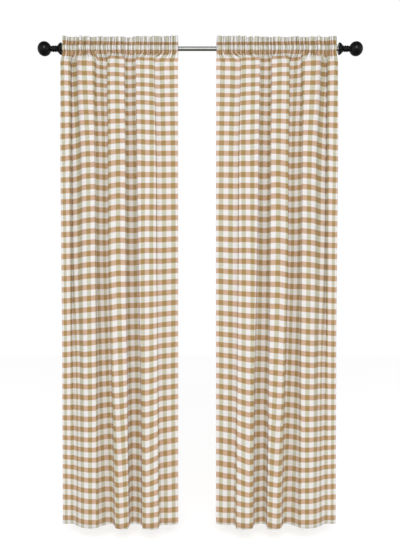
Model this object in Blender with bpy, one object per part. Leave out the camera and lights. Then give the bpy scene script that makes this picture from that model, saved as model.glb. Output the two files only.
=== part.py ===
# A pair of gingham rod-pocket curtain panels, gathered on one plain rod with ball finials.
# Metres, +Z up. The origin is the middle of the rod's axis, and the front faces -Y.
#
# Each panel is one sheet. From its hem it hangs up to the pocket's lower stitch line, passes in
# front of the rod to the upper stitch line, stands up as the ruffle, folds over at the top edge,
# and comes back down behind the rod to the turned end just under the lower stitch line.

import collections
import math

import bmesh
import bpy
import numpy as np

MM = 0.001

# Rod, and how far its ends and the panels stand from its middle
ROD_RADIUS = 9.5 * MM
ROD_END = 602.0 * MM
FIT_GAP = 0.3 * MM
ROUND_SIDES = 20

# Finial, measured outwards from the face that meets the rod
CUP_RADIUS = 26.3 * MM
CUP_RIM_RADIUS = 25.3 * MM
CUP_STRAIGHT = 7.0 * MM
CUP_LENGTH = 25.0 * MM
NECK_RADIUS = 12.3 * MM
BEAD_RADIUS = 14.2 * MM
BEAD_HALF_LENGTH = 3.0 * MM
BEAD_PLACES = (28.5 * MM, 38.0 * MM)
BALL_CENTRE = 76.6 * MM
BALL_HALF_LENGTH = 29.9 * MM
BALL_RADIUS = 31.7 * MM
BALL_STEPS = 11

# Cloth
CLOTH_THICKNESS = 2.0 * MM
LAYER_SPACING = 3.6 * MM
CHECK_REPEAT = 41.5 * MM
PAIR_MIDDLE = -8.7 * MM
HEADER_INNER = 88.0 * MM
HEADER_OUTER = {"left": 589.0 * MM, "right": 600.0 * MM}

# Heights over the rod's axis, and how far the pocket stands off it
RUFFLE_TOP = 49.0 * MM
RUFFLE_SHOULDER = 46.5 * MM
UPPER_STITCH = 18.0 * MM
POCKET_HIGH = 11.0 * MM
POCKET_MIDDLE = 1.0 * MM
POCKET_LOW = -9.5 * MM
LOWER_STITCH = -14.0 * MM
TURNED_END = -24.0 * MM
POCKET_REACH = 17.5 * MM
POCKET_SIDE_REACH = 14.5 * MM

# Fine gathers, which fade out below the pocket
GATHERS = 15
GATHER_SWING = 3.0 * MM
RUFFLE_SWING = 4.5 * MM
GATHERS_END = 150.0 * MM
TOP_EDGE_WAVE = 1.6 * MM

# The fold table. A row is one standing face of the hung cloth, from the panel's outer edge to
# its inner edge: a crest, or the floor of a valley. Columns: the check repeats of cloth where it
# starts and ends; its outer and inner edge, as distances from the pair's middle; how far it
# stands behind the rod's axis; and how far its middle bulges forward. The distances are in
# millimetres, at the four depths of DROPS below the rod's axis. The cloth between two rows is
# the wall of a fold.
DROPS = (66.0 * MM, 397.0 * MM, 1095.0 * MM, 1966.0 * MM)
Fold = collections.namedtuple("Fold", "name cloth outer inner behind bulge")
FOLDS = [
    Fold("outer edge", (0.00, 1.40), (600, 600, 597, 595), (553, 555, 552, 540), (-4, 2, 8, 28), 2),
    Fold("crease 1", (2.20, 2.40), (559, 560, 557, 539), (553, 554, 551, 535), (24, 32, 38, 38), 0),
    Fold("crest 1", (3.70, 6.35), (546, 544, 539, 522), (446, 436, 430, 425), (-22, -28, -32, -36), 4),
    Fold("valley 1", (8.60, 9.50), (448, 441, 435, 426), (412, 404, 397, 378), (16, 26, 32, 34), -2),
    Fold("crest 2", (11.70, 14.15), (408, 397, 390, 368), (318, 311, 306, 291), (-22, -28, -32, -36), 4),
    Fold("valley 2", (16.30, 17.75), (316, 312, 308, 292), (267, 260, 258, 251), (18, 28, 34, 36), -2),
    Fold("crest 3", (19.80, 21.60), (265, 256, 253, 245), (184, 179, 174, 162), (-20, -28, -32, -36), 4),
    Fold("crease 2", (22.60, 22.80), (184, 179, 175, 163), (180, 175, 170, 158), (24, 32, 38, 38), 0),
    Fold("inner edge", (23.70, 25.70), (180, 175, 169, 159), (88, 88, 88, 88), (-2, 2, 8, 28), 2),
]
CLOTH_WIDTH = FOLDS[-1].cloth[1]
BOW_SHARE = 0.32
FOLD_ROUNDING = 0.34
HEM_DROP = 2079.0 * MM

# The mesh of a panel
COLUMNS = 60
DRAPE_ROWS = (0.026, 0.044, 0.066, 0.120, 0.250, 0.500, 0.850, 1.250, 1.620, 1.900, HEM_DROP)


def clear_scene():
    for item in list(bpy.data.objects):
        bpy.data.objects.remove(item, do_unlink=True)


def make_material(name, colour, roughness, metallic=0.0):
    material = bpy.data.materials.new(name)
    material.use_nodes = True
    shader = material.node_tree.nodes["Principled BSDF"]
    shader.inputs["Base Color"].default_value = (*colour, 1.0)
    shader.inputs["Roughness"].default_value = roughness
    shader.inputs["Metallic"].default_value = metallic
    return material


def add_object(name, mesh, material):
    mesh.materials.append(material)
    item = bpy.data.objects.new(name, mesh)
    bpy.context.scene.collection.objects.link(item)
    return item


def smooth_step(value):
    value = np.clip(value, 0.0, 1.0)
    return value * value * (3.0 - 2.0 * value)


def at_drop(values, drop):
    """A table value at any depth: one smooth curve through its values at DROPS."""
    curve = np.polyfit(np.sqrt(DROPS), np.multiply(values, MM), len(DROPS) - 1)
    return float(np.polyval(curve, math.sqrt(max(drop, DROPS[0]))))


def fold_points(drop):
    """The corners of the folds at one depth: cloth repeat, distance from the middle, and depth."""
    points = []
    for fold in FOLDS:
        start = (fold.cloth[0], at_drop(fold.outer, drop), at_drop(fold.behind, drop))
        end = (fold.cloth[1], at_drop(fold.inner, drop), at_drop(fold.behind, drop))
        if points:
            points.append(wall_point(points[-1], start))
        middle = np.add(start, end) / 2.0
        points += [start, (middle[0], middle[1], middle[2] - fold.bulge * MM), end]
    return np.array(points)


def wall_point(end, start):
    """The middle of a wall, which its spare cloth bows sideways under the crest that it leaves."""
    spare = ((start[0] - end[0]) * CHECK_REPEAT) ** 2 - math.dist(start[1:], end[1:]) ** 2
    bow = min(math.sqrt(max(spare, 0.0)) / 2.0, BOW_SHARE * abs(end[2] - start[2]))
    outwards = 1.0 if end[2] < start[2] else -1.0
    middle = np.add(end, start) / 2.0
    return (middle[0], middle[1] + outwards * bow, middle[2])


def fold_section(drop, cloth):
    """Distance from the middle, and depth, of the cloth at one depth below the rod."""
    points = fold_points(drop)
    # The section runs straight on past both edges, so that rounding doesn't draw them in.
    before = 2.0 * points[0] - points[1]
    after = 2.0 * points[-1] - points[-2]
    points = np.vstack([before, points, after])
    offsets = np.linspace(-FOLD_ROUNDING, FOLD_ROUNDING, 9)
    weights = np.hanning(len(offsets) + 2)[1:-1]
    across = np.zeros_like(cloth)
    depth = np.zeros_like(cloth)
    for offset, weight in zip(offsets, weights / weights.sum()):
        across += weight * np.interp(cloth + offset, points[:, 0], points[:, 1])
        depth += weight * np.interp(cloth + offset, points[:, 0], points[:, 2])
    return across, depth


def gather_wave(share):
    """The fine gathers' swing across the width, from -1 to 1, wider and narrower by turns."""
    drift = 0.30 * np.sin(2.0 * math.pi * 2.3 * share) + 0.20 * np.sin(2.0 * math.pi * 5.1 * share + 1.0)
    size = 0.80 + 0.20 * np.sin(2.0 * math.pi * 3.7 * share + 0.5)
    return size * np.sin(2.0 * math.pi * (GATHERS * share + drift))


def header_rows():
    """The header's path from the lower stitch line up behind the rod: height, depth and swing."""
    half = LAYER_SPACING / 2.0
    return [
        (LOWER_STITCH, half, GATHER_SWING),
        (POCKET_LOW, POCKET_SIDE_REACH, GATHER_SWING),
        (POCKET_MIDDLE, POCKET_REACH, GATHER_SWING),
        (POCKET_HIGH, POCKET_SIDE_REACH, GATHER_SWING),
        (UPPER_STITCH, half, GATHER_SWING),
        (RUFFLE_SHOULDER, half, RUFFLE_SWING),
    ]


def panel_grid(side):
    """Points of the sheet's middle surface, one row for each step from its turned end to its hem."""
    share = np.linspace(0.0, 1.0, COLUMNS + 1)
    cloth = share * CLOTH_WIDTH
    wave = gather_wave(share)
    header = HEADER_OUTER[side] + (HEADER_INNER - HEADER_OUTER[side]) * share
    top_wave = TOP_EDGE_WAVE * np.sin(2.0 * math.pi * 6.4 * share + 0.7)

    def header_row(height, depth, swing):
        lift = top_wave * (height > UPPER_STITCH)
        return np.stack([header, depth + swing * wave, height + lift], axis=1)

    def drape_row(drop):
        across, depth = fold_section(drop, cloth)
        fall = smooth_step((drop + LOWER_STITCH) / (DROPS[0] + LOWER_STITCH))
        fade = 1.0 - smooth_step((drop + LOWER_STITCH) / GATHERS_END)
        across = header + (across - header) * fall
        depth = -LAYER_SPACING / 2.0 + (depth + LAYER_SPACING / 2.0) * fall
        return np.stack([across, depth + GATHER_SWING * wave * fade, np.full_like(cloth, -drop)], axis=1)

    turned = drape_row(-TURNED_END)
    turned[:, 1] += LAYER_SPACING
    rows = [turned]
    rows += [header_row(*row) for row in header_rows()]
    rows += [header_row(RUFFLE_TOP, 0.0, RUFFLE_SWING)]
    rows += [header_row(height, -depth, swing) for height, depth, swing in reversed(header_rows())]
    rows += [drape_row(drop) for drop in DRAPE_ROWS]
    return np.array(rows)


def make_panel(name, side, material):
    grid = panel_grid(side)
    outwards = -1.0 if side == "left" else 1.0
    grid[:, :, 0] = PAIR_MIDDLE + outwards * grid[:, :, 0]
    rows, columns = grid.shape[:2]
    faces = []
    for row in range(rows - 1):
        for column in range(columns - 1):
            corner = row * columns + column
            face = (corner, corner + 1, corner + columns + 1, corner + columns)
            faces.append(face if side == "left" else face[::-1])
    mesh = bpy.data.meshes.new(name)
    mesh.from_pydata(grid.reshape(-1, 3).tolist(), [], faces)
    mesh.shade_smooth()
    panel = add_object(name, mesh, material)
    sheet = panel.modifiers.new("Cloth thickness", "SOLIDIFY")
    sheet.thickness = CLOTH_THICKNESS
    sheet.offset = 0.0
    return panel


def make_rod(name, material):
    shape = bmesh.new()
    bmesh.ops.create_cone(
        shape,
        cap_ends=True,
        segments=ROUND_SIDES,
        radius1=ROD_RADIUS,
        radius2=ROD_RADIUS,
        depth=2.0 * (ROD_END - FIT_GAP),
    )
    mesh = bpy.data.meshes.new(name)
    shape.to_mesh(mesh)
    shape.free()
    mesh.shade_smooth()
    mesh.set_sharp_from_angle(angle=math.radians(40))
    rod = add_object(name, mesh, material)
    rod.rotation_euler = (0.0, math.radians(90), 0.0)
    return rod


def finial_profile():
    """Distance from the rod and radius, from the middle of the face to the ball's tip."""
    points = [(0.0, 0.0), (0.0, CUP_RIM_RADIUS), (1.0 * MM, CUP_RADIUS)]
    for step in range(6):
        share = step / 5.0
        radius = NECK_RADIUS + (CUP_RADIUS - NECK_RADIUS) * (0.5 + 0.5 * math.cos(math.pi * share))
        points.append((CUP_STRAIGHT + (CUP_LENGTH - CUP_STRAIGHT) * share ** 1.15, radius))
    for place in BEAD_PLACES:
        for step in range(5):
            angle = math.pi * step / 4.0
            along = place - BEAD_HALF_LENGTH * math.cos(angle)
            points.append((along, NECK_RADIUS + (BEAD_RADIUS - NECK_RADIUS) * math.sin(angle)))
    # The ball starts where its round is as wide as the neck.
    first = math.asin(NECK_RADIUS / BALL_RADIUS)
    for step in range(BALL_STEPS + 1):
        angle = first + (math.pi - first) * step / BALL_STEPS
        along = BALL_CENTRE - BALL_HALF_LENGTH * math.cos(angle)
        points.append((along, BALL_RADIUS * math.sin(angle) if step < BALL_STEPS else 0.0))
    return points


def make_finial(name, side, material):
    outwards = -1.0 if side == "left" else 1.0
    shape = bmesh.new()
    ring = [shape.verts.new((outwards * (ROD_END + along), 0.0, radius)) for along, radius in finial_profile()]
    edges = [shape.edges.new(pair) for pair in zip(ring, ring[1:])]
    bmesh.ops.spin(
        shape,
        geom=ring + edges,
        cent=(0.0, 0.0, 0.0),
        axis=(1.0, 0.0, 0.0),
        angle=2.0 * math.pi,
        steps=ROUND_SIDES,
    )
    bmesh.ops.remove_doubles(shape, verts=shape.verts, dist=0.01 * MM)
    bmesh.ops.recalc_face_normals(shape, faces=shape.faces)
    mesh = bpy.data.meshes.new(name)
    shape.to_mesh(mesh)
    shape.free()
    mesh.shade_smooth()
    mesh.set_sharp_from_angle(angle=math.radians(40))
    return add_object(name, mesh, material)


def main():
    clear_scene()
    gingham = make_material("tan gingham", (0.72, 0.56, 0.36), 0.85)
    grey_metal = make_material("grey metal", (0.55, 0.56, 0.53), 0.35, 1.0)
    black_satin = make_material("black satin", (0.015, 0.015, 0.018), 0.3)
    make_rod("rod", grey_metal)
    for side in ("left", "right"):
        make_panel(side + "_panel", side, gingham)
        make_finial(side + "_finial", side, black_satin)


main()
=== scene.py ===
import math

import bpy
import numpy as np
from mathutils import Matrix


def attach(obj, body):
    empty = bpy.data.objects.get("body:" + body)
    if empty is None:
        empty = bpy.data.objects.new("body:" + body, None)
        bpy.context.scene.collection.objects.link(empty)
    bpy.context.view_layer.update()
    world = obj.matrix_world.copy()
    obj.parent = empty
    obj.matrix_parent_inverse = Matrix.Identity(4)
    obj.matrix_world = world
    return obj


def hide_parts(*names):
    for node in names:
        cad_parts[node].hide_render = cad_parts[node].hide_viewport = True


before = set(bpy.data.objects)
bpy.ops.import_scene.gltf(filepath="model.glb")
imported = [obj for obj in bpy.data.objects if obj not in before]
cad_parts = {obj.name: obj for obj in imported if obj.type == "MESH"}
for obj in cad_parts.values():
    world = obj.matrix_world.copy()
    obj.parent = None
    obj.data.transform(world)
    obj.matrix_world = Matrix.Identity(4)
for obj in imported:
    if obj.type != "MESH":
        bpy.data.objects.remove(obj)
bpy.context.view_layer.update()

mm = 0.001
turn = 2.0 * math.pi

# What a user would change about the light, the floor and the view
studio = {
    "eyeHeight": -987.5 * mm,
    "eyeDistance": 3.0,
    "eyeAcross": -1.1 * mm,
    "lens": 45.0,
    "sensor": 36.0,
    "floorDrop": 2150.0 * mm,
    "floorSize": 14.0,
    "floorColour": (0.97, 0.97, 0.97, 1.0),
    "floorRoughness": 0.9,
    "floorGlow": 0.34,
    "roomLight": 0.37,
    "overhead": 1.2,             # how much brighter the room is straight up, as a share
    "mirroredEdge": 0.08,        # what the metal mirrors straight up and straight down
    "mirroredMiddle": 0.75,      # how much brighter that is at eye level
    "mirroredSpread": 1.6,
    "keyPower": 110.0,
    "keySize": 2.6,
    "keyPlace": (0.0, -4.6, 1.0),
    "keyAim": -400.0 * mm,
}

# What a user would change about the panels
panel = {
    "pairMiddle": -8.7 * mm,
    "headerOuter": {"left": 589.0 * mm, "right": 600.0 * mm},
    "headerInner": {"left": 88.0 * mm, "right": 78.0 * mm},
    "stretch": {"left": 1.0, "right": 1.036},
    "cutWidth": 24.9,            # in check repeats
    "firstStripe": 0.3,          # from the outer edge, in check repeats
    "checkRepeat": 41.5 * mm,
    "rowHeight": 47.0 * mm,      # of the check, in the header
    "topNumber": -1.56,          # the check's row at the ruffle's top
    "flatSize": (1.033, 2.25),
    "clothThickness": 1.5 * mm,  # where it is doubled, in the hems
    "singleLayer": 0.55,         # share of that elsewhere
    "layerSpacing": 3.6 * mm,
    "ruffleTop": 50.2 * mm,
    "upperStitch": 18.0 * mm,
    "lowerStitch": -14.0 * mm,
    "turnedEnd": -25.0 * mm,
    "pocketReach": 16.8 * mm,
    "hemDrop": 2079.0 * mm,
    "bottomHem": 62.0 * mm,
    "sideHem": 0.55,             # in check repeats
    "hemEdges": (0.06, 4.0 * mm),  # how softly the side hems and the bottom hem thin out
    "columns": 510,
    "drapeRows": 59,
    "foldsInHeader": 0.5,        # how far the header's gathers bunch up above the folds
    "bunchReach": 1.1,           # over how much cloth, in check repeats
}

# The folds of a panel, from its outer edge to its inner edge, at five depths below the rod.
# outer and inner: the face's two edges, as distances from the pair's middle, in mm.
# behindOuter and behindInner: how far those edges stand behind the rod's axis, in mm.
# checkOuter and checkInner: the stripe that lies there, where whole numbers are mid brown.
# cloth: the share of the cut width that the face takes, in check repeats.
foldDrops = (93.0, 441.0, 920.0, 1443.0, 2000.0)
folds = [
    # outer edge
    dict(cloth=(0.00, 1.40), bulge=4,
         outer=(601, 602, 598, 596, 596), inner=(557, 555, 555, 552, 551),
         behindOuter=(4, 6, 12, 20, 32), behindInner=(0, 4, 8, 18, 26),
         checkOuter=(-0.28, -0.50, -0.62, -0.50, -0.62), checkInner=(1.08, 1.00, 1.00, 1.00, 1.15)),
    # crease 1
    dict(cloth=(1.95, 2.05), bulge=0,
         outer=(560, 559, 558, 552, 545), inner=(559, 558, 556, 548, 538),
         behindOuter=(30, 33, 35, 34, 23), behindInner=(30, 33, 35, 34, 18),
         checkOuter=(1.90, 1.60, 1.55, 1.10, 1.35), checkInner=(1.95, 1.65, 1.60, 1.25, 1.65)),
    # valley 1
    dict(cloth=(2.55, 3.45), bulge=-1,
         outer=(556, 555, 553, 544, 532), inner=(533, 517, 515, 513, 512),
         behindOuter=(24, 21, 22, 25, 10), behindInner=(17, 8, 8, 8, -14),
         checkOuter=(2.70, 2.20, 2.12, 1.30, 1.83), checkInner=(3.20, 3.15, 3.12, 2.90, 2.63)),
    # crest 1
    dict(cloth=(3.85, 5.15), bulge=5,
         outer=(523, 506, 503, 499, 498), inner=(446, 444, 439, 437, 439),
         behindOuter=(-20, -24, -26, -26, -24), behindInner=(-22, -26, -28, -28, -26),
         checkOuter=(3.39, 3.21, 3.20, 3.17, 3.09), checkInner=(5.07, 4.80, 4.87, 4.80, 4.75)),
    # valley 2
    dict(cloth=(6.25, 7.85), bulge=-2,
         outer=(443, 440, 435, 426, 416), inner=(404, 400, 399, 387, 379),
         behindOuter=(8, 10, 12, 15, 8), behindInner=(22, 28, 32, 36, 32),
         checkOuter=(6.46, 5.97, 6.15, 6.05, 5.93), checkInner=(7.67, 7.53, 7.55, 7.40, 7.00)),
    # crest 2
    dict(cloth=(10.10, 12.10), bulge=6,
         outer=(396, 392, 388, 374, 358), inner=(317, 312, 309, 304, 298),
         behindOuter=(-20, -24, -28, -30, -26), behindInner=(-22, -28, -32, -36, -36),
         checkOuter=(9.90, 9.85, 9.95, 9.98, 9.65), checkInner=(11.86, 11.84, 11.87, 11.75, 11.36)),
    # valley 3
    dict(cloth=(14.30, 15.55), bulge=-2,
         outer=(314, 311, 308, 301, 296), inner=(279, 275, 267, 256, 250),
         behindOuter=(21, 25, 29, 31, 28), behindInner=(12, 14, 20, 22, 22),
         checkOuter=(14.08, 14.03, 14.08, 14.02, 13.85), checkInner=(15.15, 15.09, 15.30, 15.40, 15.50)),
    # crest 3
    dict(cloth=(17.60, 19.75), bulge=6,
         outer=(274, 268, 260, 248, 242), inner=(189, 179, 178, 171, 167),
         behindOuter=(-18, -24, -28, -32, -34), behindInner=(-20, -26, -30, -34, -36),
         checkOuter=(17.20, 17.15, 17.42, 17.75, 17.75), checkInner=(19.35, 19.57, 19.69, 19.80, 19.93)),
    # crease 2
    dict(cloth=(21.10, 21.25), bulge=0,
         outer=(211, 203, 200, 187, 168), inner=(211, 203, 200, 187, 165),
         behindOuter=(-11, -16, -17, -12, 14), behindInner=(-6, -11, -12, -6, 12),
         checkOuter=(20.60, 20.65, 20.75, 20.90, 20.95), checkInner=(20.75, 20.80, 20.90, 21.05, 21.10)),
    # inner edge
    dict(cloth=(22.20, 24.90), bulge=4,
         outer=(204, 196, 193, 180, 163), inner=(88, 88, 88, 88, 88),
         behindOuter=(-6, -11, -12, -5, 16), behindInner=(0, 4, 10, 18, 24),
         checkOuter=(21.93, 21.83, 21.86, 22.13, 22.34), checkInner=(24.65, 24.55, 24.50, 24.60, 24.60)),
]
# How far a wall between two faces may bow sideways, as a share of its depth, and how far
# the section's corners are rounded, in check repeats, at those five depths
bowShares = (0.32, 0.32, 0.30, 0.20, 0.08)
foldRounding = (0.36, 0.36, 0.38, 0.46, 0.56)
# Over how much height the folds change from one of those depths to the next, in mm, and how
# many places such a blend takes the middle of
foldBlend = 160.0
blendSteps = 9

# Where the check's rows lie: the depth below the rod, in mm, of a few of them, and how far
# apart they are above the first
rowDrops = (20.0, 76.0, 239.0, 413.0, 506.0, 2015.0, 2143.0)
rowNumbers = (0.0, 1.0, 5.0, 9.0, 11.0, 43.0, 45.86)
rowSpacing = 45.0
# The same on the front of the pocket: heights above the rod's axis, in mm
pocketHeights = (-14.0, -6.4, 10.0, 18.0)
pocketNumbers = (-0.12, -0.25, -0.75, -0.86)
# How far the rows hang below those, in mm, at these distances across and depths below the rod
hangDrops = (14.0, 22.0, 32.0, 47.0, 80.0, 240.0, 460.0, 560.0, 890.0, 1150.0, 1360.0,
             1640.0, 1750.0, 1870.0, 2015.0)
hang = [
    (580.0, (2, 1, 0, -8, -15, -1, 19, 18, 21, 28, 27, 20, 8, -6, -8)),
    (528.0, (2, 1, 0, -7, -12, -3, 8, 12, 17, 23, 21, 22, 13, 0, -7)),
    (497.0, (3, 2, 1, -3, -4, -1, 4, 7, 12, 18, 22, 18, 7, -4, -8)),
    (446.0, (4, 3, 2, 0, -5, 0, 1, 2, 7, 14, 17, 17, 8, -2, -8)),
    (438.0, (40, 39, 27, 15, -1, -5, -2, 3, 9, 13, 16, 12, 7, 3, -3)),
    (405.0, (41, 40, 27, 15, -1, -5, -2, 3, 9, 13, 16, 11, 7, 4, -3)),
    (345.0, (41, 41, 35, 20, 4, -4, -7, -4, 0, 1, 5, 11, 15, 20, 9)),
    (288.0, (42, 43, 36, 22, 5, -5, -11, -1, 2, 0, 0, -3, 3, 6, -2)),
    (222.0, (42, 47, 48, 36, 12, 1, -1, 0, -4, -4, -5, -3, 10, 15, 5)),
    (160.0, (42, 44, 42, 32, 14, 5, -3, -1, -4, -10, -16, -22, -14, -6, 0)),
    (100.0, (42, 43, 40, 29, 8, 1, -5, -4, -9, -15, -21, -30, -21, -13, 0)),
]


def smoothStep(value):
    value = np.clip(value, 0.0, 1.0)
    return value * value * (3.0 - 2.0 * value)


def fadeOut(below, length):
    return 1.0 - smoothStep(below / length)


def atDrop(values, drop):
    # the values at five depths, joined by a line that bends softly
    places = drop / mm + np.linspace(-foldBlend, foldBlend, blendSteps)
    return float(np.mean(np.interp(places, foldDrops, values)))


def faceEdge(fold, edge, drop):
    # cloth share, distance, depth and check number at a face's outer or inner edge
    return (fold["cloth"][0 if edge == "Outer" else 1],
            atDrop(fold[edge.lower()], drop) * mm,
            atDrop(fold["behind" + edge], drop) * mm,
            atDrop(fold["check" + edge], drop))


def foldPoints(drop):
    # corners of the folds at one depth
    points = []
    for fold in folds:
        start = faceEdge(fold, "Outer", drop)
        end = faceEdge(fold, "Inner", drop)
        if points:
            points.append(wallPoint(points[-1], start, atDrop(bowShares, drop)))
        middle = np.add(start, end) / 2.0
        middle[2] -= fold["bulge"] * mm
        points += [start, tuple(middle), end]
    return np.array(points)


def wallPoint(end, start, share):
    # a wall's middle: its spare cloth bows sideways under the crest that it leaves
    length = (start[0] - end[0]) * panel["checkRepeat"]
    spare = length ** 2 - math.dist(start[1:3], end[1:3]) ** 2
    bow = min(math.sqrt(max(spare, 0.0)) / 2.0, share * abs(end[2] - start[2]))
    outwards = 1.0 if end[2] < start[2] else -1.0
    middle = np.add(end, start) / 2.0
    middle[1] += outwards * bow
    return tuple(middle)


def foldSection(drop, cut):
    # distance, depth and check number of the cloth at one depth, with rounded corners
    points = foldPoints(drop)
    points = np.vstack([2.0 * points[0] - points[1], points, 2.0 * points[-1] - points[-2]])
    rounding = atDrop(foldRounding, drop)
    offsets = np.linspace(-rounding, rounding, blendSteps)
    weights = np.hanning(len(offsets) + 2)[1:-1]
    weights /= weights.sum()
    across = np.zeros_like(cut)
    depth = np.zeros_like(cut)
    for offset, weight in zip(offsets, weights):
        across += weight * np.interp(cut + offset, points[:, 0], points[:, 1])
        depth += weight * np.interp(cut + offset, points[:, 0], points[:, 2])
    check = np.interp(cut, points[:, 0], points[:, 3])
    return across, depth, check


def rowNumber(drop, across):
    # the check's row at one depth, lower where the cloth hangs lower
    places = [place * mm for place, amounts in reversed(hang)]
    lower = [np.interp(drop / mm, hangDrops, amounts) for place, amounts in reversed(hang)]
    level = drop / mm - np.interp(across, places, lower)
    above = np.minimum((level - rowDrops[0]) / rowSpacing, 0.0)
    return np.interp(level, rowDrops, rowNumbers) + above


def headerPlaces(side, cut):
    # where each part of the cloth is gathered to along the rod: evenly, and a little closer
    # above the folds that take more cloth
    outer, inner = panel["headerOuter"][side], panel["headerInner"][side]
    even = outer + (inner - outer) * cut / cut[-1]
    across = np.minimum.accumulate(foldSection(foldDrops[0] * mm, cut)[0])
    reach = int(panel["bunchReach"] * len(cut) / panel["cutWidth"])
    window = np.hanning(2 * reach + 3)[1:-1]
    before = 2.0 * across[0] - across[reach:0:-1]
    after = 2.0 * across[-1] - across[-2:-reach - 2:-1]
    padded = np.concatenate([before, across, after])
    bunched = np.convolve(padded, window / window.sum(), "valid")
    bunched = outer + (inner - outer) * (bunched - bunched[0]) / (bunched[-1] - bunched[0])
    return even + (bunched - even) * panel["foldsInHeader"]


# How the cloth is gathered on the rod
gathers = {
    "seed": 5,
    "width": (5.0 * mm, 13.0 * mm),
    "size": (0.6, 1.1),
    "sizeGrowth": 0.7,           # wide gathers stand out further than narrow ones
    "depth": 1.55,
    "creases": 0.25,             # how unevenly the creases between them lie
    "lean": (0.75, 1.35),
    "roundness": 0.55,
    "slide": (0.08, 0.15),       # how much cloth the slots between them take up
    "firstEdge": 0.3,            # where the first one starts, beyond the panel's edge
    "swing": 5.0 * mm,           # how far they stand out at the stitches
    "pocketSwing": 0.8 * mm,     # and how much further on the pocket
    "ruffleSwing": 2.6 * mm,     # and at the ruffle's top
    "tuckSeed": 9,
    "tucks": 26,
    "tuckWidth": (3.0 * mm, 6.0 * mm),
    "tuckHeight": (0.05, 0.34),  # in rows of the check
}


def makeGathers(header):
    # uneven gathers along the rod: rounded in front, sharply creased behind
    random = np.random.default_rng(gathers["seed"])
    low, high = gathers["width"]
    length = header[0] - header[-1]
    widths = random.uniform(low, high, int(2.0 * length / low))
    edges = np.concatenate([[0.0], np.cumsum(widths)]) - gathers["firstEdge"] * low
    place = header[0] - header
    index = np.searchsorted(edges, place, side="right") - 1
    share = (place - edges[index]) / widths[index]
    size = random.uniform(*gathers["size"], len(widths))
    size *= (widths / np.mean(widths)) ** gathers["sizeGrowth"]
    creases = random.uniform(-gathers["creases"], gathers["creases"], len(edges))
    base = creases[index] + (creases[index + 1] - creases[index]) * share
    lean = random.uniform(*gathers["lean"], len(widths))
    rise = np.sin(np.pi * share ** lean[index]) ** gathers["roundness"]
    tips = random.uniform(-1.0, 1.0, len(widths))
    # the slots between gathers take up cloth, so more of it lies close together there
    taken = random.uniform(*gathers["slide"], len(widths))
    slide = taken[index] * widths[index] * np.sin(2.0 * np.pi * share)
    fine = base + 0.5 - size[index] * gathers["depth"] * rise
    return fine, rise * tips[index], rise, slide


def makeTucks(header):
    # how far small tucks under the pocket pull the rows up, in rows
    random = np.random.default_rng(gathers["tuckSeed"])
    tucks = np.zeros_like(header)
    for number in range(gathers["tucks"]):
        middle = random.uniform(header[-1], header[0])
        width = random.uniform(*gathers["tuckWidth"])
        height = random.uniform(*gathers["tuckHeight"])
        away = np.clip(np.abs(header - middle) / width, 0.0, 1.0)
        tucks = np.maximum(tucks, height * (0.5 + 0.5 * np.cos(np.pi * away)))
    return tucks


# The header's form: the shape of the pocket's belly, and how the ruffle wanders
ruffle = {
    "bellyCurve": 0.62,
    "pocketSteps": 9,
    "steps": (0.06, 0.25, 0.5, 0.75, 1.0),
    "topGap": 1.2 * mm,          # between the last step and the top edge
    "narrowing": 0.15,
    "loosening": 0.7,
    "firstNumber": -0.90,        # the check's row just above the upper stitches
    "liftHeight": 30.0 * mm,     # how far up it takes full effect
    "lean": 1.0 * mm,
    "sway": 1.2 * mm,
    "topWave": (1.2 * mm, 6.4, 0.7),  # its height, how many along the panel, and its start
    "topTips": 2.6 * mm,
    "topPlaces": (0.0, 0.35, 0.55, 0.8, 1.0),
    "topRise": (1.2, 0.8, 0.6, 3.6, 4.2),  # in mm, at those shares of the panel's width
    "rowTilt": -0.15,            # how the check's rows tilt along the ruffle, in rows
    "rowScallop": 0.08,          # and dip between the gathers
}
# Uneven waves along a panel: how many, how far they shift, how often, from where, and a start
middleWaves = (19.0, 0.35, 3.1, 0.0, 0.7)
wideWaves = (9.0, 0.4, 2.2, 0.6, 1.9)


def headerPath():
    # from the lower stitch line up to the top: height, depth, swing, belly and row number;
    # the belly is 1 where the pocket stands furthest off the rod and 0 where it is stitched
    half = panel["layerSpacing"] / 2.0
    low, high, reach = panel["lowerStitch"], panel["upperStitch"], panel["pocketReach"]
    path = []
    for share in np.linspace(0.0, 1.0, ruffle["pocketSteps"]):
        height = low + (high - low) * share
        belly = math.sin(math.pi * share) ** ruffle["bellyCurve"]
        swing = gathers["swing"] + gathers["pocketSwing"] * belly
        number = np.interp(height / mm, pocketHeights, pocketNumbers)
        path.append((height, half + (reach - half) * belly, swing, belly, number))
    for share in ruffle["steps"]:
        height = high + (panel["ruffleTop"] - ruffle["topGap"] - high) * share
        swing = gathers["swing"] + gathers["ruffleSwing"] * share ** ruffle["loosening"]
        number = ruffle["firstNumber"] - (height - high) / panel["rowHeight"]
        path.append((height, half * (1.0 - ruffle["narrowing"] * share), swing, 0.0, number))
    return path


def wavesAlong(place, waves):
    count, shift, shiftCount, shiftStart, start = waves
    uneven = shift * np.sin(turn * shiftCount * place + shiftStart)
    return np.sin(turn * (count * place + uneven) + start)


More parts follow.
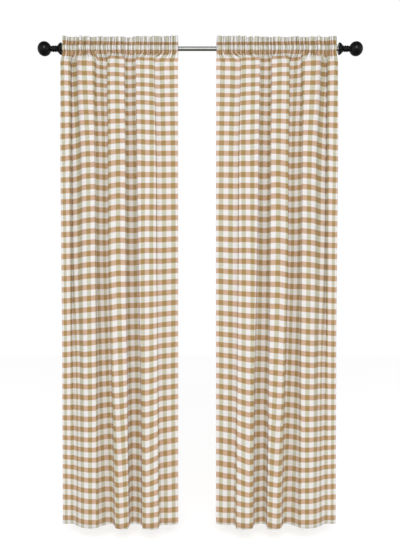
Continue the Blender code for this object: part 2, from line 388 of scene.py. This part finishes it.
def columnsOf(side):
    # what each column of a sheet keeps from row to row
    share = np.linspace(0.0, 1.0, panel["columns"] + 1)
    cut = share * panel["cutWidth"]
    header = headerPlaces(side, cut)
    fine, tips, rise, slide = makeGathers(header)
    place = (header[0] - header) / (header[0] - header[-1])
    waveHeight, waveCount, waveStart = ruffle["topWave"]
    topWave = waveHeight * np.sin(turn * waveCount * place + waveStart) + ruffle["topTips"] * tips
    topWave += mm * np.interp(place, ruffle["topPlaces"], ruffle["topRise"])
    return {
        "side": side, "share": share, "cut": cut, "place": place,
        "stripes": cut - panel["firstStripe"],
        "header": header + slide,
        "fine": fine, "rise": rise, "topWave": topWave,
        "middle": wavesAlong(place, middleWaves),
        "wide": wavesAlong(place, wideWaves),
        "tucks": makeTucks(header),
    }


def headerRow(columns, step, back):
    # one row of the pocket or the ruffle, on its back or its front layer
    height, depth, swing, belly, number = step
    if back:
        swing *= 1.0 - 2.0 * belly
        number = 2.0 * panel["topNumber"] - number
    else:
        depth = -depth
    lift = smoothStep((height - panel["upperStitch"]) / ruffle["liftHeight"])
    lifted = columns["middle"] * lift
    points = np.stack([columns["header"] + ruffle["sway"] * lifted,
                       depth + swing * columns["fine"] + ruffle["lean"] * lifted,
                       height + columns["topWave"] * lift], axis=1)
    inRuffle = height > panel["upperStitch"]
    slip = ruffle["rowTilt"] * columns["place"] * inRuffle
    slip += ruffle["rowScallop"] * (0.5 - columns["rise"]) * (1.0 - lift)
    numbers = np.stack([columns["stripes"], number + slip], axis=1)
    # the third value weights the painted shadow in the gathers' creases
    return points, numbers, 1.0 - columns["rise"], np.ones_like(slip)


# How the gathers turn into folds: over these lengths below the lower stitches
drape = {
    "folds": 38.0 * mm,
    "gathers": 48.0 * mm,
    # the painted shadow in the creases fades out over this length
    "creases": 40.0 * mm,
    # the crinkles' bump and their painted shade fade out over this length
    "crinkles": 75.0 * mm,
    "tucks": (4.0 * mm, 30.0 * mm),  # where they start, and over what length they fade
    "middleWaves": (2.0 * mm, 22.0 * mm, 130.0 * mm),  # height, fade in, fade out
    "wideWaves": (2.0 * mm, 60.0 * mm, 420.0 * mm),
    "wideLeft": 0.15,            # the share of the wide waves that stays
    "wander": 0.5,
    # slow, small wander of the hanging cloth: size, turns per metre down, turns across, start
    "wanders": ((1.5 * mm, 0.9, 4.2, 0.6), (0.9 * mm, 1.7, -9.3, 1.2)),
    "firstRow": 1.0 * mm,        # below the stitches
    "secondRow": 3.5 * mm,
    "rowGrowth": 1.5,            # rows get further apart down the drape
    "turnedRows": 4,
    "turnedStart": 3.0 * mm,
    "turnedGap": 0.9,            # how far behind it stands, as a share of the layers' spacing
    "turnedNumber": 0.12,
}
stitchDrop = -panel["lowerStitch"]


def drapeDepth(columns, depth, drop):
    # the depth of the hanging cloth: gathers that fade into the folds, and small waves
    below = drop - stitchDrop
    front = -panel["layerSpacing"] / 2.0
    depth = front + (depth - front) * smoothStep(below / drape["folds"])
    depth += gathers["swing"] * columns["fine"] * fadeOut(below, drape["gathers"])
    height, fadeIn, length = drape["middleWaves"]
    depth += height * columns["middle"] * smoothStep(below / fadeIn) * fadeOut(below, length)
    height, fadeIn, length = drape["wideWaves"]
    left = 1.0 - (1.0 - drape["wideLeft"]) * smoothStep(below / length)
    depth += height * columns["wide"] * smoothStep(below / fadeIn) * left
    wander = smoothStep(below / drape["wander"])
    for size, down, across, start in drape["wanders"]:
        turns = down * drop + across * columns["share"]
        depth += wander * size * np.sin(turn * turns + start)
    return depth


def drapeRow(columns, drop):
    # one row of the hanging cloth
    side = columns["side"]
    below = drop - stitchDrop
    fold, depth, check = foldSection(drop, columns["cut"])
    inner = panel["headerInner"]
    across = inner[side] + (fold - inner["left"]) * panel["stretch"][side]
    fall = smoothStep(below / drape["folds"])
    across = columns["header"] + (across - columns["header"]) * fall
    check = columns["stripes"] + (check - columns["stripes"]) * fall
    tuckStart, tuckLength = drape["tucks"]
    pulled = columns["tucks"] * fadeOut(below - tuckStart, tuckLength)
    depth = drapeDepth(columns, depth, drop)
    points = np.stack([across, depth, np.full_like(across, -drop)], axis=1)
    numbers = np.stack([check, rowNumber(drop, fold) + pulled], axis=1)
    # painted shadow in the gathers' creases, fading out below the stitches
    creaseShadow = (1.0 - columns["rise"]) * fadeOut(below, drape["creases"])
    return points, numbers, creaseShadow, np.full_like(across, fadeOut(below, drape["crinkles"]))


def turnedRow(columns, drop):
    # one row of the turned end, behind the hanging cloth just below the lower stitches
    points, numbers, creaseShadow, gathered = drapeRow(columns, drop)
    points[:, 1] += panel["layerSpacing"] * drape["turnedGap"]
    numbers[:, 1] = (2.0 * panel["topNumber"] + drape["turnedNumber"]
                     + (drop - stitchDrop) / panel["rowHeight"])
    return points, numbers, creaseShadow, gathered


def panelGrid(side):
    # the sheet row by row, from its turned end up the back, over the top and down the front:
    # points, check numbers, painted crease shadow, how gathered it is, and which rows are stitched
    columns = columnsOf(side)
    path = headerPath()
    topSwing = gathers["swing"] + gathers["ruffleSwing"]
    top = (panel["ruffleTop"], 0.0, topSwing, 0.0, panel["topNumber"])
    steps = [(step, True) for step in path] + [(top, False)]
    steps += [(step, False) for step in reversed(path)]
    turned = np.linspace(-panel["turnedEnd"], stitchDrop + drape["turnedStart"], drape["turnedRows"])
    rows = [turnedRow(columns, drop) for drop in turned]
    stitched = []
    for step, back in steps:
        if step[0] in (panel["lowerStitch"], panel["upperStitch"]):
            stitched.append(len(rows))
        rows.append(headerRow(columns, step, back))
    rows.append(drapeRow(columns, stitchDrop + drape["firstRow"]))
    second = stitchDrop + drape["secondRow"]
    shares = np.linspace(0.0, 1.0, panel["drapeRows"]) ** drape["rowGrowth"]
    for drop in second + (panel["hemDrop"] - second) * shares:
        rows.append(drapeRow(columns, float(drop)))
    return [np.array(values) for values in zip(*rows)] + [stitched]


def sheetMesh(name, grid, turnOver):
    # one face between each four points of the grid
    rowCount, columnCount = grid.shape[:2]
    faces = []
    for row in range(rowCount - 1):
        for column in range(columnCount - 1):
            corner = row * columnCount + column
            face = (corner, corner + 1, corner + columnCount + 1, corner + columnCount)
            faces.append(face[::-1] if turnOver else face)
    mesh = bpy.data.meshes.new(name)
    mesh.from_pydata(grid.reshape(-1, 3).tolist(), [], faces)
    return mesh


def addSheetMap(mesh, name, across, down):
    # a map of the sheet, from its distances across and down at each point
    corners = np.empty(len(mesh.loops), np.int32)
    mesh.loops.foreach_get("vertex_index", corners)
    places = np.stack(np.broadcast_arrays(across, down), axis=2).reshape(-1, 2)
    sheetMap = mesh.uv_layers.new(name=name)
    sheetMap.data.foreach_set("uv", places[corners].astype(np.float32).ravel())


def layersOf(fromEdge, fromHem):
    # how thick the cloth is, as a share: hems are double, the rest is a single layer
    single = panel["singleLayer"]
    sideEdge, bottomEdge = panel["hemEdges"]
    sides = single + (1.0 - single) * fadeOut(fromEdge - panel["sideHem"], sideEdge)
    bottom = single + (1.0 - single) * fadeOut(fromHem - panel["bottomHem"], bottomEdge)
    return np.maximum(sides[None, :], bottom[:, None])


def thicken(piece, layers):
    group = piece.vertex_groups.new(name="layers")
    for index, weight in enumerate(layers.ravel()):
        group.add([index], float(weight), "REPLACE")
    shell = piece.modifiers.new("Cloth thickness", "SOLIDIFY")
    shell.thickness = panel["clothThickness"]
    shell.offset = 0.0
    shell.vertex_group = group.name
    bpy.context.view_layer.objects.active = piece
    bpy.ops.object.select_all(action="DESELECT")
    piece.select_set(True)
    bpy.ops.object.modifier_apply(modifier=shell.name)


def makePanel(side, material):
    grid, numbers, creaseShadow, gathered, stitched = panelGrid(side)
    outwards = -1.0 if side == "left" else 1.0
    grid[:, :, 0] = panel["pairMiddle"] + outwards * grid[:, :, 0]
    mesh = sheetMesh(side + "PanelCloth", grid, side == "right")

    # the check's own map: across and down, in repeats
    addSheetMap(mesh, "check", numbers[:, :, 0], numbers[:, :, 1])

    # the cut cloth's map in metres: from the outer edge, and from the turned end to the hem
    lengths = np.linalg.norm(np.diff(grid, axis=0), axis=2)
    along = np.concatenate([np.zeros((1, grid.shape[1])), np.cumsum(lengths, axis=0)]).mean(axis=1)
    cut = np.linspace(0.0, panel["cutWidth"], grid.shape[1])
    cutMetres = cut * panel["checkRepeat"]
    addSheetMap(mesh, "cut", cutMetres, along[:, None])

    # the seams' map in metres: from the side hems' stitches, and from the nearest cross stitches
    fromEdge = np.minimum(cut, cut[-1] - cut)
    fromHem = along[-1] - along
    hemRow = int(np.argmin(np.abs(fromHem - panel["bottomHem"])))
    fromSide = (fromEdge - panel["sideHem"]) * panel["checkRepeat"]
    fromCross = np.abs(along[:, None] - along[stitched + [hemRow]]).min(axis=1)
    addSheetMap(mesh, "seams", fromSide, fromCross[:, None])

    # weights for the painted shadow in the creases, and for the header's crinkles
    for name, values in (("creaseShadow", creaseShadow), ("gathered", gathered)):
        weights = mesh.attributes.new(name, "FLOAT", "POINT")
        weights.data.foreach_set("value", values.astype(np.float32).ravel())
    mesh.shade_smooth()
    mesh.materials.append(material)
    cloth = bpy.data.objects.new(mesh.name, mesh)
    bpy.context.scene.collection.objects.link(cloth)
    thicken(cloth, layersOf(fromEdge, fromHem))

    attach(cloth, "root")
    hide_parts(side + "_panel")
    print(side, "panel:", len(cloth.data.polygons), "faces")


# Materials

def newMaterial(name):
    material = bpy.data.materials.new(name)
    material.use_nodes = True
    tree = material.node_tree
    return material, tree, tree.nodes["Principled BSDF"]


def fromSrgb(red, green, blue):
    def toLinear(value):
        value = value / 255.0
        return value / 12.92 if value <= 0.04045 else ((value + 0.055) / 1.055) ** 2.4
    return (toLinear(red), toLinear(green), toLinear(blue), 1.0)


def feed(tree, socket, value):
    # a socket takes a constant, or another node's output, or stays as it is
    if isinstance(value, (tuple, float, int)):
        socket.default_value = value
    elif value is not None:
        tree.links.new(value, socket)


def addMath(tree, operation, first, second=None, third=None):
    node = tree.nodes.new("ShaderNodeMath")
    node.operation = operation
    for socket, value in zip(node.inputs, (first, second, third)):
        feed(tree, socket, value)
    return node.outputs[0]


def addMix(tree, factor, first, second, blend="MIX"):
    node = tree.nodes.new("ShaderNodeMix")
    node.data_type = "RGBA"
    node.blend_type = blend
    feed(tree, node.inputs[0], factor)
    feed(tree, node.inputs[6], first)
    feed(tree, node.inputs[7], second)
    return node.outputs[2]


def addRamp(tree, value, low, high):
    # 0 at the low value, 1 at the high one, soft in between
    ramp = tree.nodes.new("ShaderNodeMapRange")
    ramp.interpolation_type = "SMOOTHSTEP"
    tree.links.new(value, ramp.inputs["Value"])
    ramp.inputs["From Min"].default_value = low
    ramp.inputs["From Max"].default_value = high
    return ramp.outputs[0]


def addStripe(tree, place, width, softness):
    # 1 inside a stripe centred on whole numbers, 0 outside, with soft edges
    away = addMath(tree, "ABSOLUTE", addMath(tree, "SUBTRACT", place, addMath(tree, "ROUND", place)))
    return addRamp(tree, away, width / 2.0 + softness, width / 2.0 - softness)


def addLine(tree, place, halfWidth):
    # 1 on a line at zero, 0 beyond its half width, with a soft edge
    softness = 0.4 * halfWidth
    away = addMath(tree, "ABSOLUTE", place)
    return addRamp(tree, away, halfWidth + softness, halfWidth - softness)


def addNoise(tree, place, scale, detail):
    mapping = tree.nodes.new("ShaderNodeMapping")
    mapping.inputs["Scale"].default_value = scale
    tree.links.new(place, mapping.inputs["Vector"])
    noise = tree.nodes.new("ShaderNodeTexNoise")
    noise.inputs["Scale"].default_value = 1.0
    noise.inputs["Detail"].default_value = detail
    tree.links.new(mapping.outputs[0], noise.inputs["Vector"])
    return noise.outputs["Fac"]


def addBump(tree, height, strength, distance, under=None):
    bump = tree.nodes.new("ShaderNodeBump")
    bump.inputs["Distance"].default_value = distance
    feed(tree, bump.inputs["Height"], height)
    feed(tree, bump.inputs["Strength"], strength)
    feed(tree, bump.inputs["Normal"], under)
    return bump.outputs[0]


def readMap(tree, name):
    # a map of the sheet: the place on it, and its distances across and down
    place = tree.nodes.new("ShaderNodeUVMap")
    place.uv_map = name
    parts = tree.nodes.new("ShaderNodeSeparateXYZ")
    tree.links.new(place.outputs[0], parts.inputs[0])
    return place.outputs[0], parts.outputs[0], parts.outputs[1]


def readWeight(tree, name):
    weight = tree.nodes.new("ShaderNodeAttribute")
    weight.attribute_name = name
    return weight.outputs["Fac"]


gingham = {
    "paleness": 0.80,
    "both": fromSrgb(177, 145, 95),
    "acrossTan": fromSrgb(218, 183, 156),
    "downTan": fromSrgb(213, 210, 189),
    "white": fromSrgb(250, 247, 245),
    "stripe": 0.48,              # share of the check's repeat
    "stripeEdge": 0.03,
    "roughness": 0.88,
    "sheen": 0.12,
    "specular": 0.15,
    "yarn": 0.45 * mm,
    "yarnShade": 0.035,
    "yarnBump": (0.35, 0.12 * mm),   # strength and distance, as in the bumps below
    "streaks": ((420.0, 9.0, 1.0), (9.0, 420.0, 1.0)),
    "streakShade": 0.10,
    # painted shadow: the creases' colour is darkened by this share
    "creaseShade": 0.92,
    "crinkles": (130.0, 16.0, 1.0),
    "crinkle": 2.0 * mm,
    # painted shade of the fine crinkles, as a share of the colour
    "crinkleShade": 0.9,
    "stitch": 2.8 * mm,
    "stitchDash": (0.72, 0.08),      # its share of a stitch, and how soft its ends are
    "thread": 0.8 * mm,
    "threadLine": 0.5,               # half widths of the thread and its groove, in threads
    "threadGroove": 1.6,
    "threadRise": 0.7,
    "threadColour": fromSrgb(206, 186, 152),
    "threadBump": (0.6, 0.35 * mm),
}


def addCheck(tree):
    # two sets of stripes, and the four colours that they make
    across, down = readMap(tree, "check")[1:]
    downStripes = addStripe(tree, across, gingham["stripe"], gingham["stripeEdge"])
    acrossStripes = addStripe(tree, down, gingham["stripe"], gingham["stripeEdge"])
    light = addMix(tree, downStripes, gingham["white"], gingham["downTan"])
    dark = addMix(tree, downStripes, gingham["acrossTan"], gingham["both"])
    return addMix(tree, acrossStripes, light, dark)


def addYarns(tree, cut):
    # a plain weave, and slow streaks along both directions
    place, across, down = cut
    pitch = math.pi / gingham["yarn"]
    ripples = [addMath(tree, "SINE", addMath(tree, "MULTIPLY", way, pitch)) for way in (across, down)]
    streaks = [addNoise(tree, place, scale, 3.0) for scale in gingham["streaks"]]
    return addMath(tree, "MULTIPLY", *ripples), addMath(tree, "ADD", *streaks)


def addStitches(tree, cut):
    # rows of stitches along the hems and the pocket: a thread in a shallow groove
    fromSide, fromCross = readMap(tree, "seams")[1:]
    cutAcross, cutDown = cut[1:]
    lines = []
    grooves = []
    for distance, along in ((fromSide, cutDown), (fromCross, cutAcross)):
        step = addMath(tree, "DIVIDE", along, gingham["stitch"])
        dashes = addStripe(tree, step, *gingham["stitchDash"])
        away = addMath(tree, "DIVIDE", distance, gingham["thread"])
        line = addLine(tree, away, gingham["threadLine"])
        lines.append(addMath(tree, "MULTIPLY", line, dashes))
        grooves.append(addLine(tree, away, gingham["threadGroove"]))
    return addMath(tree, "MAXIMUM", *lines), addMath(tree, "MAXIMUM", *grooves)


def addShade(tree, weave, slub, gathered, crinkles):
    # how light the cloth is: yarns and streaks, painted shadow in the creases, painted shade of the
    # crinkles in the header
    shade = addMath(tree, "MULTIPLY_ADD", slub, gingham["streakShade"], 1.0 - gingham["streakShade"])
    shade = addMath(tree, "MULTIPLY_ADD", weave, gingham["yarnShade"], shade)
    shade = addMath(tree, "MULTIPLY", shade, gingham["paleness"])
    # painted shadow in the gathers' creases: the colour is darkened there
    creaseShadow = readWeight(tree, "creaseShadow")
    shadow = addMath(tree, "MULTIPLY_ADD", creaseShadow, -gingham["creaseShade"], 1.0)
    shade = addMath(tree, "MULTIPLY", shade, shadow)
    # painted shade of the fine crinkles: the noise darkens and lightens the colour where the cloth is
    # gathered
    uneven = addMath(tree, "SUBTRACT", crinkles, 0.5)
    uneven = addMath(tree, "MULTIPLY", uneven, gingham["crinkleShade"])
    uneven = addMath(tree, "MULTIPLY_ADD", uneven, gathered, 1.0)
    shade = addMath(tree, "MULTIPLY", shade, uneven)
    grey = tree.nodes.new("ShaderNodeCombineColor")
    for socket in grey.inputs:
        tree.links.new(shade, socket)
    return grey.outputs[0]


def makeGingham():
    material, tree, shader = newMaterial("gingham")
    cut = readMap(tree, "cut")
    gathered = readWeight(tree, "gathered")
    crinkles = addNoise(tree, cut[0], gingham["crinkles"], 2.0)
    weave, slub = addYarns(tree, cut)
    threads, grooves = addStitches(tree, cut)
    shade = addShade(tree, weave, slub, gathered, crinkles)
    toned = addMix(tree, 1.0, addCheck(tree), shade, "MULTIPLY")
    colour = addMix(tree, threads, toned, gingham["threadColour"])

    yarnBump = addBump(tree, addMath(tree, "ADD", weave, slub), *gingham["yarnBump"])
    threadHeight = addMath(tree, "MULTIPLY", threads, gingham["threadRise"])
    threadHeight = addMath(tree, "SUBTRACT", threadHeight, grooves)
    threadBump = addBump(tree, threadHeight, *gingham["threadBump"], yarnBump)
    crumple = addBump(tree, crinkles, gathered, gingham["crinkle"], threadBump)
    feed(tree, shader.inputs["Base Color"], colour)
    feed(tree, shader.inputs["Normal"], crumple)
    feed(tree, shader.inputs["Roughness"], gingham["roughness"])
    feed(tree, shader.inputs["Sheen Weight"], gingham["sheen"])
    feed(tree, shader.inputs["Specular IOR Level"], gingham["specular"])
    return material


ginghamCloth = makeGingham()
for side in ("left", "right"):
    makePanel(side, ginghamCloth)

# Edges of the turned pieces that are sharper than this stay crisp
sharpAngle = math.radians(35.0)


def turnPiece(name, start, outwards, profile, sides):
    # a ring across the rod's axis, drawn along it and widened or narrowed step by step
    bpy.ops.object.select_all(action="DESELECT")
    bpy.ops.mesh.primitive_circle_add(vertices=sides, radius=profile[0][1], fill_type="NGON",
                                      location=(start, 0.0, 0.0), rotation=(0.0, math.radians(90.0), 0.0))
    piece = bpy.context.object
    piece.name = name
    bpy.ops.object.mode_set(mode="EDIT")
    bpy.ops.mesh.select_all(action="SELECT")
    for before, after in zip(profile, profile[1:]):
        step = (outwards * (after[0] - before[0]), 0.0, 0.0)
        bpy.ops.mesh.extrude_region_move(TRANSFORM_OT_translate={"value": step})
        narrowing = after[1] / before[1]
        bpy.ops.transform.resize(value=(1.0, narrowing, narrowing))
    bpy.ops.mesh.select_all(action="SELECT")
    bpy.ops.mesh.normals_make_consistent(inside=False)
    bpy.ops.object.mode_set(mode="OBJECT")
    bpy.ops.object.transform_apply(location=True, rotation=True, scale=True)
    bpy.ops.object.shade_smooth_by_angle(angle=sharpAngle)
    return piece


def finishPiece(piece, node, material):
    piece.data.materials.append(material)
    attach(piece, "root")
    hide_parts(node)
    print(piece.name, "has", len(piece.data.polygons), "faces")


def cornersOf(node):
    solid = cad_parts[node]
    return [solid.matrix_world @ vertex.co for vertex in solid.data.vertices]


finial = {
    "sides": 72,
    "cupRadius": 26.3 * mm,
    "cupRim": ((0.0, 1.6 * mm), (0.4 * mm, 0.6 * mm), (1.2 * mm, 0.0)),  # distance and inset
    "cupStraight": 6.0 * mm,
    "cupLength": 25.0 * mm,
    "cupCurve": 1.15,
    "cupFirst": 0.08,            # where its curve starts, as a share
    "cupSteps": 12,
    "neckRadius": 12.3 * mm,
    "beadRadius": 14.2 * mm,
    "beadHalfLength": 3.0 * mm,
    "beadPlaces": (28.5 * mm, 38.0 * mm),
    "beadSteps": 9,
    "ballCentre": 76.6 * mm,
    "ballHalfLength": 29.9 * mm,
    "ballRadius": 31.7 * mm,
    "ballSteps": 34,
    "ballTip": 0.02,             # the small flat at the tip, in radians
    "grain": (700.0, 700.0, 700.0),
    "grainDetail": 3.0,
    "darkest": (0.003, 0.003, 0.004, 1.0),
    "lightest": (0.006, 0.006, 0.007, 1.0),
    "roughness": 0.15,
    "roughnessSpread": 0.08,
    "bump": (0.12, 0.05 * mm),
    "specular": 0.22,
}


def finialProfile():
    # distance from the rod's end and radius: the cup, the neck with two beads, the ball
    neck, cup = finial["neckRadius"], finial["cupRadius"]
    profile = [(distance, cup - inset) for distance, inset in finial["cupRim"]]
    profile.append((finial["cupStraight"], cup))
    length = finial["cupLength"] - finial["cupStraight"]
    for share in np.linspace(finial["cupFirst"], 1.0, finial["cupSteps"]):
        profile.append((finial["cupStraight"] + length * share ** finial["cupCurve"],
                        neck + (cup - neck) * (0.5 + 0.5 * math.cos(math.pi * share))))
    for middle in finial["beadPlaces"]:
        for angle in np.linspace(0.0, math.pi, finial["beadSteps"]):
            profile.append((middle - finial["beadHalfLength"] * math.cos(angle),
                            neck + (finial["beadRadius"] - neck) * math.sin(angle)))
    first = math.asin(neck / finial["ballRadius"])
    for angle in np.linspace(first, math.pi - finial["ballTip"], finial["ballSteps"]):
        profile.append((finial["ballCentre"] - finial["ballHalfLength"] * math.cos(angle),
                        finial["ballRadius"] * math.sin(angle)))
    return profile


def grainyMaterial(name, looks):
    # a noise that varies the colour and the roughness a little
    material, tree, shader = newMaterial(name)
    place = tree.nodes.new("ShaderNodeTexCoord")
    noise = addNoise(tree, place.outputs["Object"], looks["grain"], looks["grainDetail"])
    roughness = addMath(tree, "MULTIPLY_ADD", noise, looks["roughnessSpread"], looks["roughness"])
    feed(tree, shader.inputs["Roughness"], roughness)
    colour = addMix(tree, noise, looks["darkest"], looks["lightest"])
    feed(tree, shader.inputs["Base Color"], colour)
    return material, tree, shader, noise


def makeFinialBlack():
    material, tree, shader, noise = grainyMaterial("satin black enamel", finial)
    feed(tree, shader.inputs["Normal"], addBump(tree, noise, *finial["bump"]))
    feed(tree, shader.inputs["Specular IOR Level"], finial["specular"])
    return material


finialBlack = makeFinialBlack()
for side, outwards in (("left", -1.0), ("right", 1.0)):
    face = outwards * min(abs(corner.x) for corner in cornersOf(side + "_finial"))
    ball = turnPiece(side + "Finial", face, outwards, finialProfile(), finial["sides"])
    finishPiece(ball, side + "_finial", finialBlack)

rod = {
    "sides": 64,
    "radius": 9.5 * mm,
    "bevel": 0.6 * mm,
    "grain": (6.0, 900.0, 900.0),
    "grainDetail": 4.0,
    "darkest": (0.36, 0.37, 0.35, 1.0),
    "lightest": (0.44, 0.45, 0.43, 1.0),
    "roughness": 0.38,
    "roughnessSpread": 0.14,
}


def makeRodMetal():
    material, tree, shader = grainyMaterial("satin grey metal", rod)[:3]
    feed(tree, shader.inputs["Metallic"], 1.0)
    return material


rodStart = min(corner.x for corner in cornersOf("rod"))
rodEnd = max(corner.x for corner in cornersOf("rod"))
rodLength = rodEnd - rodStart
rodProfile = [
    (0.0, rod["radius"] - rod["bevel"]),
    (rod["bevel"], rod["radius"]),
    (rodLength - rod["bevel"], rod["radius"]),
    (rodLength, rod["radius"] - rod["bevel"]),
]
tube = turnPiece("rodTube", rodStart, 1.0, rodProfile, rod["sides"])
finishPiece(tube, "rod", makeRodMetal())


# Floor, light and camera

def makeFloor():
    bpy.ops.object.select_all(action="DESELECT")
    bpy.ops.mesh.primitive_plane_add(size=studio["floorSize"], location=(0.0, 0.0, -studio["floorDrop"]))
    floor = bpy.context.object
    floor.name = "floor"
    material, tree, shader = newMaterial("pale floor")
    feed(tree, shader.inputs["Base Color"], studio["floorColour"])
    feed(tree, shader.inputs["Roughness"], studio["floorRoughness"])
    feed(tree, shader.inputs["Emission Color"], (1.0, 1.0, 1.0, 1.0))
    feed(tree, shader.inputs["Emission Strength"], studio["floorGlow"])
    floor.data.materials.append(material)
    floor.visible_glossy = False


def addBackground(tree, strength):
    background = tree.nodes.new("ShaderNodeBackground")
    feed(tree, background.inputs["Color"], (1.0, 1.0, 1.0, 1.0))
    feed(tree, background.inputs["Strength"], strength)
    return background.outputs[0]


def addChoice(tree, ray, otherwise, then):
    choice = tree.nodes.new("ShaderNodeMixShader")
    for socket, value in zip(choice.inputs, (ray, otherwise, then)):
        tree.links.new(value, socket)
    return choice.outputs[0]


def makeRoom():
    # what the eye sees is white; what lights the cloth is a soft room, brighter overhead;
    # what the rod and the finials mirror is darker above and below
    world = bpy.data.worlds.new("room")
    bpy.context.scene.world = world
    world.use_nodes = True
    tree = world.node_tree
    tree.nodes.clear()
    place = tree.nodes.new("ShaderNodeTexCoord")
    parts = tree.nodes.new("ShaderNodeSeparateXYZ")
    tree.links.new(place.outputs["Generated"], parts.inputs[0])
    height = parts.outputs[2]
    rise = studio["roomLight"] * studio["overhead"]
    roomStrength = addMath(tree, "MULTIPLY_ADD", height, rise, studio["roomLight"])
    level = addMath(tree, "SUBTRACT", 1.0, addMath(tree, "ABSOLUTE", height))
    level = addMath(tree, "POWER", level, studio["mirroredSpread"])
    mirroredStrength = addMath(tree, "MULTIPLY_ADD", level,
                               studio["mirroredMiddle"], studio["mirroredEdge"])

    ray = tree.nodes.new("ShaderNodeLightPath")
    seen = addBackground(tree, 1.0)
    fill = addBackground(tree, roomStrength)
    mirrored = addBackground(tree, mirroredStrength)
    lighting = addChoice(tree, ray.outputs["Is Glossy Ray"], fill, mirrored)
    output = tree.nodes.new("ShaderNodeOutputWorld")
    surface = addChoice(tree, ray.outputs["Is Camera Ray"], lighting, seen)
    tree.links.new(surface, output.inputs["Surface"])


def makeLamp():
    key = bpy.data.lights.new("key", "AREA")
    key.energy = studio["keyPower"]
    key.size = studio["keySize"]
    lamp = bpy.data.objects.new("key", key)
    lamp.location = studio["keyPlace"]
    aim = math.atan2(studio["keyPlace"][2] - studio["keyAim"], -studio["keyPlace"][1])
    lamp.rotation_euler = (math.pi / 2.0 - aim, 0.0, 0.0)
    bpy.context.scene.collection.objects.link(lamp)


def makeCamera():
    eye = bpy.data.cameras.new("eye")
    eye.sensor_fit = "VERTICAL"
    eye.sensor_height = studio["sensor"]
    eye.lens = studio["lens"]
    camera = bpy.data.objects.new("eye", eye)
    camera.location = (studio["eyeAcross"], -studio["eyeDistance"], studio["eyeHeight"])
    camera.rotation_euler = (math.pi / 2.0, 0.0, 0.0)
    bpy.context.scene.collection.objects.link(camera)
    bpy.context.scene.camera = camera


makeFloor()
makeRoom()
makeLamp()
makeCamera()
bpy.context.scene.view_settings.view_transform = "Standard"
print("floor, light and camera ready")
